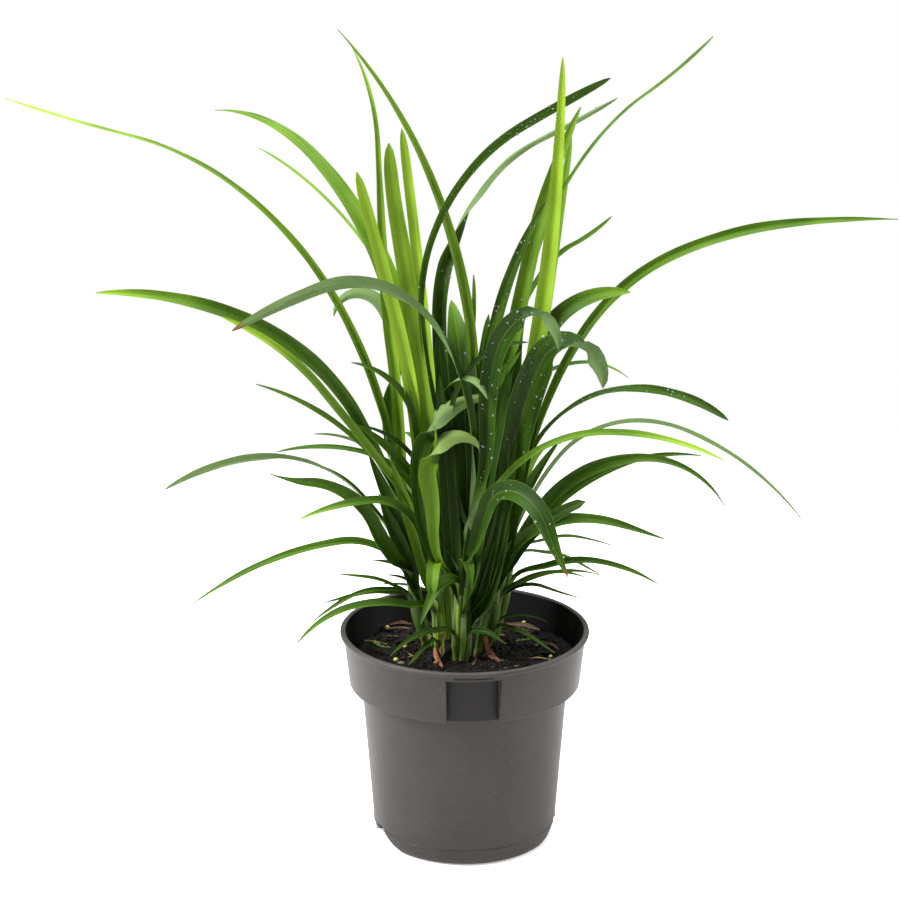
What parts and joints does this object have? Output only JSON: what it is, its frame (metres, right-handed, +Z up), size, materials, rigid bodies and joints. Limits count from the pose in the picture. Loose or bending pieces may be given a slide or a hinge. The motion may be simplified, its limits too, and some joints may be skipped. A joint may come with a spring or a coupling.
{
  "type": "potted flax lily",
  "caption": "Flax lily with long arching strap leaves that grow from a clump of shoots in a round nursery pot filled with potting mix.",
  "frame": {"origin": "on the pot's axis, in the plane that the pot stands on", "axes": "+Z up along the pot's axis; the front of the pot, with its label recess, faces -Y; +X to the right seen from the front"},
  "size_m": [0.5026, 0.2679, 0.4612],
  "materials": {
    "pot_plastic": "satin",
    "potting_mix": "matte",
    "shoot_skin": "satin",
    "leaf_blade": "satin"
  },
  "bodies": {
    "root": {"pot": "pot_plastic", "potting_mix": "potting_mix", "left_shoot": "shoot_skin", "left_leaf_1": "leaf_blade", "left_leaf_2": "leaf_blade", "left_leaf_3": "leaf_blade", "left_leaf_4": "leaf_blade", "left_leaf_5": "leaf_blade", "left_leaf_6": "leaf_blade", "left_leaf_7": "leaf_blade", "front_left_shoot": "shoot_skin", "front_left_leaf_1": "leaf_blade", "front_left_leaf_2": "leaf_blade", "front_left_leaf_3": "leaf_blade", "front_left_leaf_4": "leaf_blade", "front_left_leaf_5": "leaf_blade", "front_left_leaf_6": "leaf_blade", "front_shoot": "shoot_skin", "front_leaf_1": "leaf_blade", "front_leaf_2": "leaf_blade", "front_leaf_3": "leaf_blade", "front_leaf_4": "leaf_blade", "front_leaf_5": "leaf_blade", "front_leaf_6": "leaf_blade", "front_leaf_7": "leaf_blade", "front_leaf_8": "leaf_blade", "front_leaf_9": "leaf_blade", "middle_shoot": "shoot_skin", "middle_leaf_1": "leaf_blade", "middle_leaf_2": "leaf_blade", "middle_leaf_3": "leaf_blade", "middle_leaf_4": "leaf_blade", "middle_leaf_5": "leaf_blade", "middle_leaf_6": "leaf_blade", "middle_leaf_7": "leaf_blade", "middle_leaf_8": "leaf_blade", "right_shoot": "shoot_skin", "right_leaf_1": "leaf_blade", "right_leaf_2": "leaf_blade", "right_leaf_3": "leaf_blade", "right_leaf_4": "leaf_blade", "right_leaf_5": "leaf_blade", "right_leaf_6": "leaf_blade", "back_shoot": "shoot_skin", "back_leaf_1": "leaf_blade", "back_leaf_2": "leaf_blade", "back_leaf_3": "leaf_blade", "back_leaf_4": "leaf_blade", "back_leaf_5": "leaf_blade", "back_leaf_6": "leaf_blade", "back_leaf_7": "leaf_blade", "back_right_shoot": "shoot_skin", "back_right_leaf_1": "leaf_blade", "back_right_leaf_2": "leaf_blade", "back_right_leaf_3": "leaf_blade", "back_right_leaf_4": "leaf_blade", "back_right_leaf_5": "leaf_blade", "back_right_leaf_6": "leaf_blade", "back_right_leaf_7": "leaf_blade", "back_right_leaf_8": "leaf_blade"}
  },
  "joints": []
}
